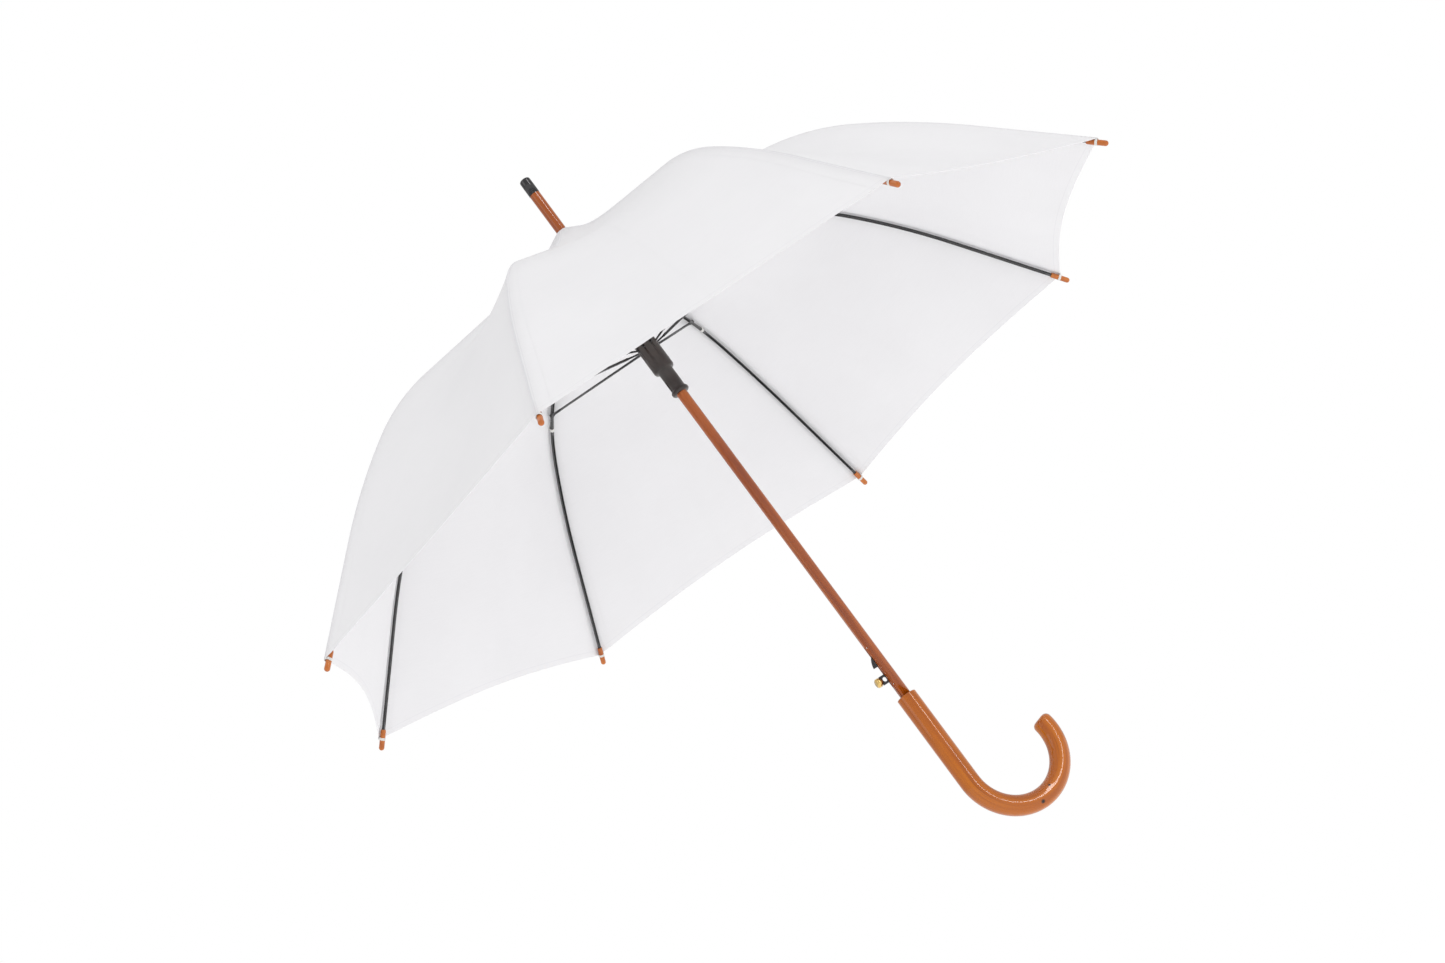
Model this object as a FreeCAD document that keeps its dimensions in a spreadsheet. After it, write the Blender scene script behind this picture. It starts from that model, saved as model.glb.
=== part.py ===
"""Stick umbrella with an automatic opening catch, shown open and upright.

Millimetres and degrees. The shaft is the Z axis, with the point at the top and the crook handle at the
bottom. The origin is on the shaft axis, halfway along the straight grip. The crook bends towards +X, and
the catch and its button are on the -X side. Every piece of the canopy frame is drawn in the XZ plane and
turned about Z to its own rib.
"""
import FreeCAD, Part
import math
import os

Vector = FreeCAD.Vector
Rotation = FreeCAD.Rotation
Placement = FreeCAD.Placement

UP = Vector(0, 0, 1)
SIDEWAYS = Vector(0, 1, 0)

# ----------------------------------------------------------------------------------------------------
# Driving dimensions
# ----------------------------------------------------------------------------------------------------

DIMENSIONS = {
    # shaft, handle and point
    "shaft_diameter": 12.0,
    "shaft_seat_depth": 60.0,
    "grip_diameter": 22.0,
    "grip_length": 110.0,
    "crook_bend_radius": 54.0,
    "crook_sweep": 196.0,
    "grip_mouth_round": 1.2,
    "crook_end_round": 6.0,
    "crown_height": 661.0,
    "point_length": 76.0,
    "cap_overhang": 0.25,
    "cap_length": 21.0,
    "cap_plug_length": 12.0,
    "cap_round": 2.5,
    "glue_gap": 0.02,
    # canopy frame
    "rib_count": 8.0,
    "first_rib_turn": 6.6,
    "pivot_ring_radius": 10.5,
    "pivot_wire_diameter": 1.2,
    "rib_width": 3.0,
    "rib_depth": 2.6,
    "rib_wall": 0.6,
    "rib_slope": 15.7,
    "rib_straight_run": 232.0,
    "rib_shoulder_radius": 250.0,
    "rib_shoulder_turn": 21.3,
    "rib_sweep_radius": 780.0,
    "rib_sweep_turn": 9.5,
    "rib_end_run": 130.0,
    "link_run": 255.0,
    "flex_run": 277.0,
    "flex_gap": 0.3,
    "tongue_width": 1.2,
    "tongue_length": 6.5,
    "eye_radius": 2.0,
    "stretcher_width": 3.0,
    "stretcher_depth": 2.4,
    "stretcher_tongue": 15.0,
    "fork_wall": 0.8,
    "fork_length": 24.0,
    "rivet_diameter": 1.6,
    "rivet_head_height": 0.6,
    "tip_diameter": 6.0,
    "tip_length": 23.0,
    "tip_socket_depth": 10.0,
    # running clearances
    "pin_clearance": 0.06,
    "side_clearance": 0.2,
    "slide_clearance": 0.08,
    # crown and runner
    "crown_radius": 14.0,
    "crown_half_height": 4.0,
    "crown_neck_height": 13.0,
    "crown_neck_radius": 9.0,
    "runner_flange_radius": 14.0,
    "runner_flange_height": 3.0,
    "runner_head_height": 11.5,
    "runner_sleeve_radius": 12.0,
    "runner_sleeve_drop": 32.0,
    "runner_shoulder": 2.0,
    "runner_neck_wall": 2.22,
    "runner_foot_radius": 10.0,
    "runner_foot_height": 6.0,
    "runner_skirt_drop": 63.0,
    "window_height": 16.0,
    # catch, button and opening spring
    "catch_rise": 41.0,
    "catch_gap": 0.3,
    "lip_height": 3.2,
    "hook_height": 14.0,
    "hook_reach": 5.2,
    "catch_thickness": 1.6,
    "catch_plate_depth": 3.0,
    "catch_plate_cover": 2.0,
    "catch_plate_top": 24.0,
    "catch_plate_bottom": 26.0,
    "catch_travel": 5.3,
    "button_drop": 15.0,
    "loop_height": 10.0,
    "loop_reach": 7.0,
    "loop_hole_radius": 2.6,
    "knob_diameter": 10.0,
    "knob_height": 6.0,
    "keeper_diameter": 1.2,
    "leaf_thickness": 0.4,
    "spring_bore_diameter": 7.0,
    "spring_diameter": 6.0,
    "spring_wire_diameter": 0.9,
    "spring_turns": 24.0,
    "drive_pin_diameter": 2.0,
    "drive_pin_drop": 15.0,
    # canopy
    "cloth_thickness": 0.5,
    "cloth_lift": 4.4,
    "apex_lift": 19.0,
    "apex_spread": 38.0,
    "apex_gap": 0.5,
    "gore_sag": 14.0,
    "hem_sag": 8.0,
    "hem_dip": 15.0,
    "seam_gap": 0.3,
}

doc = FreeCAD.newDocument("stick_umbrella")
sheet = doc.addObject("Spreadsheet::Sheet", "Sizes")
for row, (alias, value) in enumerate(DIMENSIONS.items(), start=1):
    sheet.set("A%d" % row, alias)
    sheet.set("B%d" % row, str(value))
    sheet.setAlias("B%d" % row, alias)
doc.recompute()


def size(alias):
    """A driving dimension, read back from the sheet."""
    return float(sheet.get(alias))


nodes = []


def keep(obj, name):
    """Name a finished sub-part after its file and list it for export."""
    obj.Label = name
    nodes.append(obj)
    return obj


# ----------------------------------------------------------------------------------------------------
# Worked-out places
# ----------------------------------------------------------------------------------------------------

RIBS = int(size("rib_count"))
STEP = 360.0 / RIBS
shaft_radius = size("shaft_diameter") / 2
grip_half = size("grip_length") / 2
crown_z = size("crown_height")
ring_radius = size("pivot_ring_radius")
wire_radius = size("pivot_wire_diameter") / 2


def rib_azimuth(index):
    return size("first_rib_turn") + STEP * index


def rib_segments():
    """The rib's centreline as (length, radius, turn in degrees), from the crown outwards."""
    shoulder = math.radians(size("rib_shoulder_turn")) * size("rib_shoulder_radius")
    sweep = math.radians(size("rib_sweep_turn")) * size("rib_sweep_radius")
    return [
        (size("rib_straight_run"), 0.0, 0.0),
        (shoulder, size("rib_shoulder_radius"), size("rib_shoulder_turn")),
        (sweep, size("rib_sweep_radius"), size("rib_sweep_turn")),
        (size("rib_end_run"), 0.0, 0.0),
    ]


RIB_LENGTH = sum(length for length, radius, turn in rib_segments())


def rib_place(run):
    """Distance from the shaft, height and downward slope in degrees at a run along the rib's centreline."""
    out, height, slope = ring_radius, crown_z, size("rib_slope")
    left = run
    for length, radius, turn in rib_segments():
        part = left if length >= left else length
        if radius:
            bend = math.radians(part / length * turn)
            a = math.radians(slope)
            out += radius * (math.sin(a + bend) - math.sin(a))
            height -= radius * (math.cos(a) - math.cos(a + bend))
            slope += math.degrees(bend)
        else:
            out += part * math.cos(math.radians(slope))
            height -= part * math.sin(math.radians(slope))
        left -= part
        if left <= 0:
            return out, height, slope
    out += left * math.cos(math.radians(slope))
    height -= left * math.sin(math.radians(slope))
    return out, height, slope


def rib_offset(run, lift):
    """The point that stands lift off the rib's centreline, towards the cloth, in the XZ plane."""
    out, height, slope = rib_place(run)
    a = math.radians(slope)
    return out + lift * math.sin(a), height + lift * math.cos(a)


joint_out, joint_z = rib_place(size("link_run"))[:2]
link_length = math.hypot(joint_out - ring_radius, joint_z - crown_z)
runner_z = 2 * joint_z - crown_z
runner_foot_z = runner_z - size("runner_skirt_drop")
catch_z = grip_half + size("catch_rise")
catch_inset = shaft_radius - size("catch_plate_cover")
runner_travel = runner_foot_z + size("lip_height") + size("catch_gap") - catch_z
drive_pin_z = runner_z - size("drive_pin_drop")
drive_radius = size("drive_pin_diameter") / 2
shaft_top = crown_z + size("point_length")
shaft_foot = grip_half - size("shaft_seat_depth")
bore_floor = drive_pin_z - runner_travel - 3 * size("drive_pin_diameter")
anchor_z = crown_z + size("crown_half_height")

# ----------------------------------------------------------------------------------------------------
# Small drawing helpers
# ----------------------------------------------------------------------------------------------------


def new_body(name):
    return doc.addObject("PartDesign::Body", name)


def origin_plane(body, role):
    for feature in body.Origin.OriginFeatures:
        if feature.Role == role:
            return feature
    raise ValueError(role)


def new_sketch(body, name, role="XZ_Plane", lift=0.0):
    """A sketch on one of the body's own origin planes, lifted along the plane's normal."""
    sketch = body.newObject("Sketcher::SketchObject", name)
    sketch.AttachmentSupport = [(origin_plane(body, role), "")]
    sketch.MapMode = "FlatFace"
    sketch.AttachmentOffset = Placement(Vector(0, 0, lift), Rotation())
    return sketch


def draw_outline(sketch, points):
    """A closed outline of straight edges through (x, y) points."""
    corners = [Vector(x, y, 0) for x, y in points]
    for first, second in zip(corners, corners[1:] + corners[:1]):
        sketch.addGeometry(Part.LineSegment(first, second), False)


def draw_circle(sketch, x, y, radius):
    sketch.addGeometry(Part.Circle(Vector(x, y, 0), UP, radius), False)


def draw_rectangle(sketch, x0, y0, x1, y1):
    draw_outline(sketch, [(x0, y0), (x1, y0), (x1, y1), (x0, y1)])


def pad_both_ways(body, sketch, name, length):
    """A pad half on each side of its sketch; length is an expression on the sheet."""
    pad = body.newObject("PartDesign::Pad", name)
    pad.Profile = sketch
    pad.SideType = "Symmetric"
    pad.setExpression("Length", length)
    return pad


def cut_both_ways(body, sketch, name, length):
    """A pocket half on each side of its sketch; length is an expression on the sheet."""
    pocket = body.newObject("PartDesign::Pocket", name)
    pocket.Profile = sketch
    pocket.SideType = "Symmetric"
    pocket.setExpression("Length", length)
    return pocket


def revolve(body, sketch, name, axis="V_Axis"):
    turned = body.newObject("PartDesign::Revolution", name)
    turned.Profile = sketch
    turned.ReferenceAxis = (sketch, [axis])
    turned.Angle = 360
    return turned


def groove(body, sketch, name, axis="V_Axis"):
    turned = body.newObject("PartDesign::Groove", name)
    turned.Profile = sketch
    turned.ReferenceAxis = (sketch, [axis])
    turned.Angle = 360
    return turned


def round_edges(body, name, radius, edge_radius, centre):
    """Fillet the body's circular edges of one radius and centre; radius is a name on the sheet."""
    base = body.Tip
    edges = [
        "Edge%d" % number
        for number, edge in enumerate(base.Shape.Edges, start=1)
        if isinstance(edge.Curve, Part.Circle)
        and abs(edge.Curve.Radius - edge_radius) < 0.01
        and edge.Curve.Center.distanceToPoint(centre) < 0.01
    ]
    fillet = body.newObject("PartDesign::Fillet", name)
    fillet.Base = (base, edges)
    fillet.setExpression("Radius", "Sizes." + radius)
    doc.recompute()


def turned_body(name, outline):
    """A body turned about Z from an outline of (radius, height) points."""
    body = new_body(name)
    sketch = new_sketch(body, name + "_outline")
    draw_outline(sketch, outline)
    revolve(body, sketch, name + "_turning")
    return body


def rib_strip(sketch, start, end, low, high):
    """Draw the strip of the rib's side view between two runs, from low to high off the centreline."""
    marks = [start]
    reached = 0.0
    for length, radius, turn in rib_segments():
        reached += length
        if start < reached < end:
            marks.append(reached)
    marks.append(end)

    def edge(first, second, lift):
        a = Vector(*rib_offset(first, lift), 0)
        b = Vector(*rib_offset(second, lift), 0)
        middle = Vector(*rib_offset((first + second) / 2, lift), 0)
        chord = (a + b) * 0.5
        if (middle - chord).Length < 1e-6:
            return Part.LineSegment(a, b)
        return Part.Arc(a, middle, b)

    for first, second in zip(marks, marks[1:]):
        sketch.addGeometry(edge(first, second, high), False)
        sketch.addGeometry(edge(second, first, low), False)
    for run in (start, end):
        low_point = Vector(*rib_offset(run, low), 0)
        high_point = Vector(*rib_offset(run, high), 0)
        sketch.addGeometry(Part.LineSegment(low_point, high_point), False)


def turn_to_rib(index):
    return Placement(Vector(), Rotation(UP, rib_azimuth(index)))


# ----------------------------------------------------------------------------------------------------
# Shaft, handle and point
# ----------------------------------------------------------------------------------------------------


def make_shaft():
    """Wooden shaft: bored from the top for the opening spring, slotted for the drive pin and the catch."""
    body = new_body("shaft_body")
    outline = new_sketch(body, "shaft_outline")
    bore = size("spring_bore_diameter") / 2
    draw_outline(
        outline,
        [
            (0, shaft_foot),
            (shaft_radius, shaft_foot),
            (shaft_radius, shaft_top),
            (bore, shaft_top),
            (bore, bore_floor),
            (0, bore_floor),
        ],
    )
    revolve(body, outline, "shaft_turning")
    doc.recompute()

    slot = new_sketch(body, "drive_slot_outline")
    slot_half = drive_radius + size("side_clearance")
    draw_rectangle(
        slot,
        0,
        drive_pin_z - runner_travel - slot_half,
        shaft_radius * 2,
        drive_pin_z + slot_half,
    )
    cut_both_ways(body, slot, "drive_slot", "Sizes.drive_pin_diameter + 2 * Sizes.side_clearance")

    mouth = new_sketch(body, "catch_slot_outline")
    back = size("catch_travel") + size("catch_gap") - catch_inset + size("catch_plate_depth")
    draw_rectangle(
        mouth,
        -shaft_radius * 2,
        catch_z - size("catch_plate_bottom") - size("catch_gap"),
        back,
        catch_z + size("catch_plate_top") + size("catch_gap"),
    )
    cut_both_ways(body, mouth, "catch_slot", "Sizes.catch_thickness + 2 * Sizes.side_clearance")

    holes = new_sketch(body, "cross_pin_holes")
    for x, z in keeper_places():
        draw_circle(holes, x, z, size("keeper_diameter") / 2)
    draw_circle(holes, 0, anchor_z, drive_radius)
    cut_both_ways(body, holes, "cross_pin_bores", "4 * Sizes.shaft_diameter")
    return keep(body, "shaft")


def keeper_places():
    """Centres of the two pins that keep the catch plate in its slot, as (x, z)."""
    x = -catch_inset - size("keeper_diameter") / 2 - size("pin_clearance")
    inset = size("keeper_diameter") * 1.5
    return [
        (x, catch_z + size("catch_plate_top") - inset),
        (x, catch_z - size("catch_plate_bottom") + inset),
    ]


def make_handle():
    """Crook handle: a round bar carried down the grip and round the crook, bored for the shaft."""
    body = new_body("handle_body")
    bend = size("crook_bend_radius")
    sweep = math.radians(size("crook_sweep"))
    spine = new_sketch(body, "handle_spine")
    spine.addGeometry(Part.LineSegment(Vector(0, grip_half, 0), Vector(0, -grip_half, 0)), False)
    middle = math.pi + sweep / 2
    end = math.pi + sweep
    spine.addGeometry(
        Part.Arc(
            Vector(0, -grip_half, 0),
            Vector(bend + bend * math.cos(middle), -grip_half + bend * math.sin(middle), 0),
            Vector(bend + bend * math.cos(end), -grip_half + bend * math.sin(end), 0),
        ),
        False,
    )
    section = new_sketch(body, "handle_section", "XY_Plane", grip_half)
    draw_circle(section, 0, 0, size("grip_diameter") / 2)
    pipe = body.newObject("PartDesign::AdditivePipe", "handle_bar")
    pipe.Profile = section
    pipe.Spine = spine
    doc.recompute()

    bore = new_sketch(body, "shaft_seat_outline")
    seat = shaft_radius + size("glue_gap")
    draw_rectangle(bore, 0, shaft_foot, seat, grip_half * 2)
    groove(body, bore, "shaft_seat")
    doc.recompute()

    grip_radius = size("grip_diameter") / 2
    round_edges(body, "mouth_round", "grip_mouth_round", grip_radius, Vector(0, 0, grip_half))
    tail = Vector(bend + bend * math.cos(end), 0, -grip_half + bend * math.sin(end))
    round_edges(body, "crook_end_round", "crook_end_round", grip_radius, tail)
    return keep(body, "handle")


def make_cap():
    """Metal cap on the point, with a plug that fills the top of the shaft's bore."""
    radius = shaft_radius + size("cap_overhang")
    plug = size("spring_bore_diameter") / 2 - size("glue_gap")
    body = new_body("cap_body")
    sketch = new_sketch(body, "cap_outline")
    top = shaft_top + size("cap_length")
    edge = size("cap_round")
    rim = Vector(radius, top - edge, 0)
    crest = Vector(radius - edge, top, 0)
    bulge = edge * math.sqrt(0.5)
    between = Vector(radius - edge + bulge, top - edge + bulge, 0)
    points = [
        crest,
        Vector(0, top, 0),
        Vector(0, shaft_top - size("cap_plug_length"), 0),
        Vector(plug, shaft_top - size("cap_plug_length"), 0),
        Vector(plug, shaft_top, 0),
        Vector(radius, shaft_top, 0),
        rim,
    ]
    for first, second in zip(points, points[1:]):
        sketch.addGeometry(Part.LineSegment(first, second), False)
    sketch.addGeometry(Part.Arc(rim, between, crest), False)
    revolve(body, sketch, "cap_turning")
    return keep(body, "ferrule_cap")


# ----------------------------------------------------------------------------------------------------
# Crown and runner
# ----------------------------------------------------------------------------------------------------


def cut_hinge_slots(body, pivot_z, top_z, bottom_z, outer_radius):
    """Radial slots for the hinge tongues, one to each rib, and the round seat of the pivot wire."""
    seat = new_sketch(body, body.Name + "_wire_outline")
    draw_circle(seat, ring_radius, pivot_z, wire_radius + size("pin_clearance"))
    groove(body, seat, body.Name + "_wire_seat")
    doc.recompute()
    inner = ring_radius - size("eye_radius") - size("side_clearance")
    outline = new_sketch(body, body.Name + "_slot_outline")
    draw_rectangle(outline, inner, bottom_z, outer_radius * 1.5, top_z)
    slot = cut_both_ways(
        body, outline, body.Name + "_slot", "Sizes.tongue_width + 2 * Sizes.side_clearance"
    )
    doc.recompute()
    pattern = body.newObject("PartDesign::PolarPattern", body.Name + "_slots")
    pattern.Originals = [slot]
    pattern.Axis = (outline, ["V_Axis"])
    pattern.Angle = 360
    pattern.Occurrences = RIBS
    body.Tip = pattern
    doc.recompute()


def make_crown():
    """Top notch: the slotted collar that the ribs hang from, with a neck that holds the cloth up."""
    bore = shaft_radius + size("glue_gap")
    rim = size("crown_radius")
    half = size("crown_half_height")
    body = turned_body(
        "crown_body",
        [
            (bore, crown_z - half),
            (rim, crown_z - half),
            (rim, crown_z + half),
            (size("crown_neck_radius"), crown_z + size("crown_neck_height")),
            (bore, crown_z + size("crown_neck_height")),
        ],
    )
    doc.recompute()
    top = crown_z + size("eye_radius") + size("side_clearance") * 2
    cut_hinge_slots(body, crown_z, top, crown_z - half * 2, rim)
    body.Placement = turn_to_rib(0)
    return keep(body, "top_notch")


def make_runner():
    """Runner: notched head, wide sleeve, narrow neck and flared foot, with the catch window at the back."""
    bore = shaft_radius + size("slide_clearance")
    head = runner_z + size("runner_head_height")
    flange = size("runner_flange_radius")
    sleeve = size("runner_sleeve_radius")
    neck = bore + size("runner_neck_wall")
    foot = size("runner_foot_radius")
    shoulder = size("runner_shoulder")
    sleeve_end = runner_z - size("runner_sleeve_drop")
    body = turned_body(
        "runner_body",
        [
            (bore, head),
            (flange, head),
            (flange, head - size("runner_flange_height")),
            (sleeve, head - size("runner_flange_height") - (flange - sleeve) / 2),
            (sleeve, sleeve_end + shoulder),
            (sleeve - shoulder / 2, sleeve_end),
            (neck, sleeve_end),
            (neck, runner_foot_z + size("runner_foot_height")),
            (foot, runner_foot_z + size("runner_foot_height") * 0.6),
            (foot, runner_foot_z + size("runner_foot_height") * 0.2),
            (foot - 1, runner_foot_z),
            (bore, runner_foot_z),
        ],
    )
    doc.recompute()
    body.Placement = turn_to_rib(0)
    floor = runner_z - size("eye_radius") - size("side_clearance") * 2
    cut_hinge_slots(body, runner_z, head + size("runner_flange_height"), floor, flange)

    holes = new_sketch(body, "runner_window_plan", "XY_Plane", runner_foot_z + size("lip_height"))
    holes.AttachmentOffset = Placement(
        Vector(0, 0, runner_foot_z + size("lip_height")), Rotation(UP, -rib_azimuth(0))
    )
    half = size("catch_thickness") / 2 + size("side_clearance") * 1.5
    draw_rectangle(holes, -foot * 1.5, -half, 0, half)
    window = body.newObject("PartDesign::Pocket", "catch_window")
    window.Profile = holes
    window.Reversed = True
    window.setExpression("Length", "Sizes.window_height")
    doc.recompute()

    pin_hole = new_sketch(body, "drive_pin_plan", "XY_Plane", drive_pin_z)
    pin_hole.AttachmentOffset = Placement(Vector(0, 0, drive_pin_z), Rotation(UP, -rib_azimuth(0)))
    draw_rectangle(pin_hole, 0, -drive_radius, runner_pin_reach(), 0)
    bored = body.newObject("PartDesign::Groove", "drive_pin_bore")
    bored.Profile = pin_hole
    bored.ReferenceAxis = (pin_hole, ["H_Axis"])
    bored.Angle = 360
    return keep(body, "runner")


def runner_pin_reach():
    """Outer end of the drive pin, just inside the sleeve's skin."""
    return size("runner_sleeve_radius") - size("rib_wall")


def make_pivot_wire(name, height):
    """Wire ring that the hinge eyes are strung on."""
    ring = doc.addObject("Part::Torus", name + "_ring")
    ring.setExpression("Radius1", "Sizes.pivot_ring_radius")
    ring.setExpression("Radius2", "Sizes.pivot_wire_diameter / 2")
    ring.Placement = Placement(Vector(0, 0, height), Rotation())
    return keep(ring, name)


def make_cross_pin(name, diameter, length, place, direction):
    """A plain round pin with its middle at place."""
    pin = doc.addObject("Part::Cylinder", name + "_bar")
    pin.setExpression("Radius", diameter + " / 2")
    pin.setExpression("Height", length)
    doc.recompute()
    start = place - direction * (pin.Height.Value / 2)
    pin.Placement = Placement(start, Rotation(UP, direction))
    return pin


# ----------------------------------------------------------------------------------------------------
# Ribs, stretchers and tips
# ----------------------------------------------------------------------------------------------------

half_depth = size("rib_depth") / 2


def channel(body, name, start, end):
    """Hollow the rib from below into a channel between two runs."""
    outline = new_sketch(body, name + "_channel_outline")
    rib_strip(outline, start, end, -half_depth * 2, half_depth - size("rib_wall"))
    cut_both_ways(body, outline, name + "_channel", "Sizes.rib_width - 2 * Sizes.rib_wall")


def make_inner_rib(index):
    """Rib from the crown to just past the stretcher's joint."""
    name = "inner_rib_%d" % (index + 1)
    end = size("flex_run") - size("flex_gap") / 2
    start = size("tongue_length")
    body = new_body(name + "_body")
    strip = new_sketch(body, name + "_strip")
    rib_strip(strip, start, end, -half_depth, half_depth)
    pad_both_ways(body, strip, name + "_bar", "Sizes.rib_width")
    tongue = new_sketch(body, name + "_tongue_outline")
    rib_strip(tongue, 0, start, -half_depth * 0.8, half_depth * 0.8)
    pad_both_ways(body, tongue, name + "_tongue", "Sizes.tongue_width")
    eye = new_sketch(body, name + "_eye_outline")
    draw_circle(eye, ring_radius, crown_z, size("eye_radius"))
    pad_both_ways(body, eye, name + "_eye", "Sizes.tongue_width")
    doc.recompute()
    channel(body, name, start + size("tongue_length"), size("link_run") - size("eye_radius") * 2)
    holes = new_sketch(body, name + "_holes")
    draw_circle(holes, ring_radius, crown_z, wire_radius + size("pin_clearance"))
    draw_circle(holes, joint_out, joint_z, size("rivet_diameter") / 2 + size("pin_clearance"))
    cut_both_ways(body, holes, name + "_bores", "2 * Sizes.rib_width")
    body.Placement = turn_to_rib(index)
    return keep(body, name)


def make_outer_rib(index):
    """Springy outer length of the rib, from just past the joint to inside the tip."""
    name = "outer_rib_%d" % (index + 1)
    start = size("flex_run") + size("flex_gap") / 2
    body = new_body(name + "_body")
    strip = new_sketch(body, name + "_strip")
    rib_strip(strip, start, RIB_LENGTH, -half_depth, half_depth)
    pad_both_ways(body, strip, name + "_bar", "Sizes.rib_width")
    doc.recompute()
    inset = size("tongue_length")
    channel(body, name, start + inset, RIB_LENGTH - size("tip_socket_depth") - inset)
    body.Placement = turn_to_rib(index)
    return keep(body, name)


def make_stretcher(index):
    """Stretcher: a bar from the runner's wire to a fork that straddles the rib, with the fork's rivet."""
    name = "stretcher_%d" % (index + 1)
    across = joint_out - ring_radius
    rise = joint_z - runner_z
    length = math.hypot(across, rise)
    body = new_body(name + "_body")
    half = size("stretcher_depth") / 2
    tongue = size("stretcher_tongue")
    fork = size("fork_length")

    bar = new_sketch(body, name + "_bar_outline")
    draw_rectangle(bar, tongue, -half, length - fork, half)
    pad_both_ways(body, bar, name + "_bar", "Sizes.stretcher_width")
    cheek = new_sketch(body, name + "_fork_outline")
    draw_rectangle(cheek, length - fork - 2 * half, -half, length, half)
    pad_both_ways(
        body, cheek, name + "_fork", "Sizes.rib_width + 2 * Sizes.fork_wall + 2 * Sizes.side_clearance"
    )
    ear = new_sketch(body, name + "_ear_outline")
    draw_circle(ear, length, 0, size("eye_radius"))
    pad_both_ways(
        body, ear, name + "_ear", "Sizes.rib_width + 2 * Sizes.fork_wall + 2 * Sizes.side_clearance"
    )
    eye = new_sketch(body, name + "_eye_outline")
    draw_circle(eye, 0, 0, size("eye_radius"))
    pad_both_ways(body, eye, name + "_eye", "Sizes.tongue_width")
    link = new_sketch(body, name + "_tongue_outline")
    draw_rectangle(link, 0, -half * 0.8, tongue + half, half * 0.8)
    pad_both_ways(body, link, name + "_tongue", "Sizes.tongue_width")
    doc.recompute()
    gap = new_sketch(body, name + "_gap_outline")
    draw_rectangle(gap, length - fork, -half * 3, length + half * 4, half * 3)
    cut_both_ways(body, gap, name + "_gap", "Sizes.rib_width + 2 * Sizes.side_clearance")
    holes = new_sketch(body, name + "_holes")
    draw_circle(holes, 0, 0, wire_radius + size("pin_clearance"))
    draw_circle(holes, length, 0, size("rivet_diameter") / 2)
    cut_both_ways(body, holes, name + "_bores", "4 * Sizes.rib_width")
    body.Placement = stretcher_placement(index)

    rivet = make_rivet(name, index)
    doc.recompute()
    pair = doc.addObject("Part::Compound", name + "_with_rivet")
    pair.Links = [body, rivet]
    return keep(pair, name)


def stretcher_placement(index):
    """Places a stretcher drawn along +X from the runner's wire up to the rib's joint."""
    tilt = math.degrees(math.atan2(joint_z - runner_z, joint_out - ring_radius))
    local = Placement(Vector(ring_radius, 0, runner_z), Rotation(SIDEWAYS, -tilt))
    return turn_to_rib(index).multiply(local)


def make_rivet(name, index):
    """Headed rivet through the fork and the rib."""
    radius = size("rivet_diameter") / 2
    fork_half = size("rib_width") / 2 + size("fork_wall") + size("side_clearance")
    cap = fork_half + size("rivet_head_height")
    body = new_body(name + "_rivet_body")
    sketch = new_sketch(body, name + "_rivet_outline")
    head = radius * 1.8
    draw_outline(
        sketch,
        [
            (0, -cap),
            (head, -cap),
            (head, -fork_half),
            (radius, -fork_half),
            (radius, fork_half),
            (head, fork_half),
            (head, cap),
            (0, cap),
        ],
    )
    revolve(body, sketch, name + "_rivet_turning")
    local = Placement(Vector(joint_out, 0, joint_z), Rotation(UP, SIDEWAYS))
    body.Placement = turn_to_rib(index).multiply(local)
    return body


def make_tip(index):
    """Rib tip: a round-ended wooden bead pushed over the end of the rib."""
    name = "rib_tip_%d" % (index + 1)
    radius = size("tip_diameter") / 2
    socket = math.hypot(size("rib_width") / 2, half_depth) + size("pin_clearance")
    depth = size("tip_socket_depth")
    length = size("tip_length")
    body = new_body(name + "_body")
    sketch = new_sketch(body, name + "_outline")
    nose = length - depth
    mouth = radius * 0.85
    points = [
        Vector(nose, 0, 0),
        Vector(0, 0, 0),
        Vector(0, socket, 0),
        Vector(-depth, socket, 0),
        Vector(-depth, mouth, 0),
        Vector(-depth + radius * 0.5, radius, 0),
        Vector(nose - radius, radius, 0),
    ]
    for first, second in zip(points, points[1:]):
        sketch.addGeometry(Part.LineSegment(first, second), False)
    bulge = radius * math.sqrt(0.5)
    sketch.addGeometry(
        Part.Arc(points[-1], Vector(nose - radius + bulge, bulge, 0), points[0]), False
    )
    revolve(body, sketch, name + "_turning", "H_Axis")
    out, height, slope = rib_place(RIB_LENGTH)
    local = Placement(Vector(out, 0, height), Rotation(SIDEWAYS, slope))
    body.Placement = turn_to_rib(index).multiply(local)
    return keep(body, name)


# ----------------------------------------------------------------------------------------------------
# Catch, button and springs
# ----------------------------------------------------------------------------------------------------


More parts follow.
